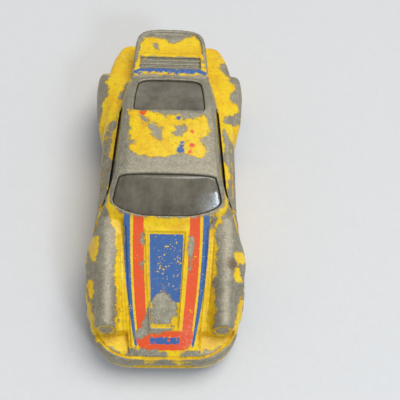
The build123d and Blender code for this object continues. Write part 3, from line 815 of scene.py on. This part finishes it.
def decorated_enamel(paint, hollow, left):
    """Yellow enamel with the printed marks over it and a dark rim at every chip."""
    orange, blue = printed_stripes(paint)
    kept = print_kept(paint)
    blue = blue.most(roof_marks(paint, BLUE_ROOF_MARKS)).most(nose_bar(paint)) * kept
    orange = orange.most(roof_marks(paint, ORANGE_ROOF_MARKS)) * kept
    tone = paint.noise(0.35, 4, 0.6, seed=13)
    faded = paint.y.step(-25, -31) * paint.x.step(2, 4) * paint.noise(1.8, 4, 0.7, seed=23).step(0.42, 0.7)
    red = paint.blend(faded * 0.6, ORANGE, (0.8, 0.33, 0.25))
    ink = paint.blend(orange, yellow_enamel(paint, tone, hollow), red)
    ink = paint.blend(blue, ink, paint.blend(tone, BLUE, (0.05, 0.14, 0.36)))
    return paint.blend(left.step(0.32, 0.05) * 0.5, ink, (0.3, 0.19, 0.04))


def bare_zinc(paint, hollow, mottle):
    """(colour, height) of grey die-cast zinc: mottled, grainy with painted glints, rusty in one place,
    dark in the creases from dirt and painted shade.
    """
    grain = paint.noise(9, 3, 0.7, seed=31)
    crystals = paint.noise(3, 3, 0.75, seed=33)
    zinc = paint.blend(mottle.step(0.3, 0.72), (0.235, 0.205, 0.138), ZINC)
    # the pale and near-white specks on the crystals and grain are painted glints of light
    zinc = paint.blend(crystals.step(0.52, 0.72) * 0.5, zinc, (0.72, 0.69, 0.6))
    zinc = paint.blend(crystals.step(0.4, 0.3) * 0.35, zinc, (0.13, 0.115, 0.085))
    zinc = paint.blend(grain.step(0.6, 0.7) * 0.6, zinc, (0.8, 0.8, 0.78))
    ragged = paint.noise(3.2, 4, 0.7, seed=2) * 2.4 - 1.2
    rust = (paint.away_from(12.1, -19.3) + ragged).step(1.5, 0.5) * paint.z.step(9, 10)
    zinc = paint.blend(rust * 0.65, zinc, (0.12, 0.055, 0.03))
    # creases darkened by dirt and painted shade; a hollow of 1 in the gap beside the cabin paints it
    # nearly black as a painted shadow
    grime_and_shade = (hollow * 1.5).least(1).most(0) * 0.4 + hollow.step(0.9, 1) * 0.5
    return paint.blend(grime_and_shade, zinc, (0.05, 0.043, 0.033)), grain * 0.04 + crystals * 0.06


def enamel():
    """Yellow enamel with printed stripes, chipped and rubbed back to grey die-cast zinc."""
    paint = Surface("chipped_enamel")
    hollow = paint.stored("hollow")
    left = enamel_left(paint)
    painted = left.step(-0.02, 0.05)
    mottle = paint.noise(0.9, 6, 0.7, seed=29)
    dimples = paint.noise(1.6, 2, seed=37)
    zinc, zinc_height = bare_zinc(paint, hollow, mottle)
    paint.set("Base Color", paint.blend(painted, zinc, decorated_enamel(paint, hollow, left)))
    paint.set("Metallic", (1 - painted) * 0.55)
    paint.set("Roughness", painted * -0.14 + 0.46 + (mottle - 0.5) * 0.3)
    paint.set("Specular IOR Level", 0.38)
    paint.relief(painted * (dimples * 0.03 + 0.06) + zinc_height * (1 - painted) + mottle * 0.06)
    return paint


def smoked_plastic():
    """Clear plastic smoked nearly black, with handling haze and faint scratches."""
    pane = Surface("smoked_plastic")
    haze = pane.noise(0.3, 5, 0.7, (1, 0.6, 1), seed=41)
    scratches = pane.noise(0.9, 3, 0.6, (8, 0.5, 1), seed=43).step(0.66, 0.7)
    colour = pane.blend(haze.step(0.3, 0.72), (0.08, 0.068, 0.044), (0.205, 0.178, 0.13))
    pane.set("Base Color", pane.blend(scratches * 0.25, colour, (0.3, 0.28, 0.24)))
    pane.set("Roughness", haze * 0.16 + 0.1 + scratches * 0.15)
    pane.set("Coat Weight", 0.35)
    pane.set("Coat Roughness", 0.12)
    pane.relief(haze * 0.05 + pane.noise(5, 2, seed=47) * 0.004)
    return pane


# ---------------------------------------------------------------- plastics, rubber and metals
def moulded(name, colour, roughness, scuffs=0.3):
    """Injection-moulded plastic: faint flow marks, a fine spark texture and pale scuffs."""
    plastic = Surface(name)
    flow = plastic.noise(0.45, 4, 0.6, (1, 0.4, 1), seed=53)
    spark = plastic.noise(12, 2, 0.6, seed=59)
    scuff = plastic.noise(1.3, 6, 0.75, seed=61).step(0.6, 0.72)
    lighter = tuple(c * 1.35 + 0.01 for c in colour)
    worn = tuple(min(c * 1.6 + 0.05, 0.9) for c in colour)
    tone = plastic.blend(flow.step(0.3, 0.7), colour, lighter)
    plastic.set("Base Color", plastic.blend(scuff * scuffs, tone, worn))
    plastic.set("Roughness", flow * 0.16 + roughness - 0.08 + scuff * 0.12)
    plastic.relief(spark * 0.012 + flow * 0.03)
    return plastic


def hot_stamped_wheel(rim_radius, axle_y):
    """Black wheel plastic whose face, inside the tread, carries worn bright foil."""
    wheel = moulded("foiled_wheel_%d" % round(rim_radius * 10), (0.018, 0.018, 0.019), 0.42)
    along, up = wheel.y - axle_y, wheel.z - WHEEL_RADIUS
    radius = (along * along + up * up).math("SQRT")
    worn = wheel.noise(2.2, 5, 0.7, seed=67).step(0.66, 0.62)
    foil = radius.step(rim_radius + 0.04, rim_radius - 0.04) * wheel.x.size().step(13.7, 13.9) * worn
    black = wheel.shader.inputs["Base Color"].links[0].from_socket
    wheel.set("Base Color", wheel.blend(foil, black, (0.5, 0.49, 0.46)))
    wheel.set("Metallic", foil * 0.85)
    return wheel


def rubber():
    """Soft black tyre: dull and grainy, with patches of dust."""
    tyre = Surface("tyre_rubber")
    dust = tyre.noise(1.1, 6, 0.75, seed=71).step(0.42, 0.72)
    grain = tyre.noise(10, 3, 0.7, seed=73)
    tyre.set("Base Color", tyre.blend(dust * 0.5, (0.014, 0.014, 0.015), (0.085, 0.078, 0.068)))
    tyre.set("Roughness", dust * 0.15 + 0.68)
    tyre.relief(grain * 0.03)
    return tyre


def metal(name, colour, roughness, stretch, tarnish=(0.1, 0.08, 0.05)):
    """Worked metal: fine lines across the axes with a high stretch, uneven polish, a little tarnish."""
    steel = Surface(name)
    lines = steel.noise(9, 3, 0.7, stretch, seed=79)
    stain = steel.noise(0.8, 5, 0.7, seed=83).step(0.5, 0.75)
    steel.set("Base Color", steel.blend(stain * 0.35, colour, tarnish))
    steel.set("Metallic", 1.0)
    steel.set("Roughness", lines * 0.2 + roughness - 0.1 + stain * 0.15)
    steel.relief(lines * 0.015)
    return steel


def pale_floor():
    """Matt studio board with a very faint tooth."""
    board = Surface("studio_board")
    tooth = board.noise(0.8, 4, 0.6, seed=89)
    board.set("Base Color", board.blend(tooth, (0.66, 0.66, 0.655), (0.7, 0.7, 0.695)))
    board.set("Roughness", 0.75)
    board.relief(tooth * 0.05)
    return board


# Directions of the fine lines on metal: rings round an axle, or streaks along it.
AROUND_AXLE = (6, 0.4, 0.4)
ALONG_AXLE = (0.4, 4, 4)
enamel().on(shell)
smoked_plastic().on(glass)
moulded("base_plastic", (0.02, 0.02, 0.021), 0.48).on(nodes["baseplate"])
moulded("interior_plastic", (0.05, 0.046, 0.04), 0.5).on(nodes["interior_tub"])
moulded("case_plastic", (0.16, 0.17, 0.18), 0.4).on(nodes["motor_case_left"], nodes["motor_case_right"])
moulded("gear_nylon", (0.7, 0.68, 0.6), 0.38, 0.1).on(
    nodes["clutch_gear"], nodes["transfer_gear"], nodes["spring_gear"]
)
hot_stamped_wheel(3.3, FRONT_Y).on(nodes["front_wheel_left"], nodes["front_wheel_right"])
hot_stamped_wheel(3.45, REAR_Y).on(nodes["rear_hub_left"], nodes["rear_hub_right"])
rubber().on(nodes["rear_tyre_left"], nodes["rear_tyre_right"])
metal("plated_axle", (0.6, 0.6, 0.58), 0.28, AROUND_AXLE).on(nodes["front_axle"], nodes["rear_axle"])
metal("plated_screw", (0.5, 0.5, 0.49), 0.34, (1, 1, 0.3)).on(nodes["base_screws"])
metal("gear_brass", (0.72, 0.5, 0.2), 0.3, ALONG_AXLE).on(nodes["axle_pinion"])
metal("arbor_steel", (0.5, 0.5, 0.5), 0.32, AROUND_AXLE).on(
    nodes["spring_arbor"], nodes["clutch_gear_pin"], nodes["transfer_gear_pin"]
)
metal("spring_steel", (0.32, 0.34, 0.38), 0.26, (5, 0.5, 0.5), (0.05, 0.06, 0.12)).on(nodes["mainspring"])


def soften_edges(node, width):
    """Weld the imported facets together and round the part's sharp edges."""
    weld = node.modifiers.new("weld", "WELD")
    weld.merge_threshold = 0.001 * MM
    bevel = node.modifiers.new("edge_radius", "BEVEL")
    bevel.width = width * MM
    bevel.segments = 2
    bevel.limit_method = "ANGLE"
    bevel.angle_limit = math.radians(40)
    bevel.harden_normals = True


for name, node in nodes.items():
    if name not in ("body_shell", "window_glass"):
        soften_edges(node, 0.06)

# ---------------------------------------------------------------- floor, light and camera
floor_mesh = bpy.data.meshes.new("floor")
floor_mesh.from_pydata([(-2, -2, 0), (2, -2, 0), (2, 2, 0), (-2, 2, 0)], [], [(0, 1, 2, 3)])
floor = bpy.data.objects.new("floor", floor_mesh)
bpy.context.scene.collection.objects.link(floor)
pale_floor().on(floor)


def area_light(name, place, size, power):
    light = bpy.data.lights.new(name, "AREA")
    light.size = size
    light.energy = power
    lamp = bpy.data.objects.new(name, light)
    bpy.context.scene.collection.objects.link(lamp)
    lamp.location = place
    direction = -lamp.location
    lamp.rotation_euler = direction.to_track_quat("-Z", "Y").to_euler()
    return lamp


def sun(name, direction, angle, strength):
    light = bpy.data.lights.new(name, "SUN")
    light.angle = math.radians(angle)
    light.energy = strength
    lamp = bpy.data.objects.new(name, light)
    bpy.context.scene.collection.objects.link(lamp)
    lamp.rotation_euler = Vector(direction).to_track_quat("-Z", "Y").to_euler()


def studio_world():
    """Even pale surround for the camera, a dimmer one for lighting."""
    world = bpy.data.worlds.new("studio")
    world.use_nodes = True
    tree = world.node_tree
    background = tree.nodes["Background"]
    background.inputs["Color"].default_value = (0.97, 0.98, 1, 1)
    seen = Value(tree, tree.nodes.new("ShaderNodeLightPath").outputs["Is Camera Ray"])
    feed(tree, background.inputs["Strength"], seen * 0.3 + 0.42)
    bpy.context.scene.world = world


sun("key", (-0.35, -0.25, -1), 40, 1.9)
area_light("soft_box", (0.19, -0.28, 0.26), 0.07, 0.42).data.color = (0.7, 0.84, 1)
studio_world()


def camera_basis(pitch, yaw, roll):
    """Columns right, up and back for a camera that looks down by pitch, turned by yaw and roll."""
    ahead = np.array([math.sin(yaw) * math.cos(pitch), math.cos(yaw) * math.cos(pitch), -math.sin(pitch)])
    right = np.cross(ahead, [0, 0, 1])
    right /= np.linalg.norm(right)
    up = np.cross(right, ahead)
    turned_right = math.cos(roll) * right + math.sin(roll) * up
    turned_up = -math.sin(roll) * right + math.cos(roll) * up
    return np.stack([turned_right, turned_up, -ahead], axis=1)


camera_data = bpy.data.cameras.new("camera")
camera = bpy.data.objects.new("camera", camera_data)
bpy.context.scene.collection.objects.link(camera)
camera_data.sensor_width = 36
camera_data.lens = 58.1
camera_data.clip_start = 0.005
basis = camera_basis(math.radians(62.2), math.radians(5.42), math.radians(5.89))
matrix = np.eye(4)
matrix[:3, :3] = basis
matrix[:3, 3] = np.array([0.8, -64.2, 124.8]) * MM
camera.matrix_world = Matrix(matrix.tolist())
bpy.context.scene.camera = camera
bpy.context.scene.view_settings.view_transform = "Standard"
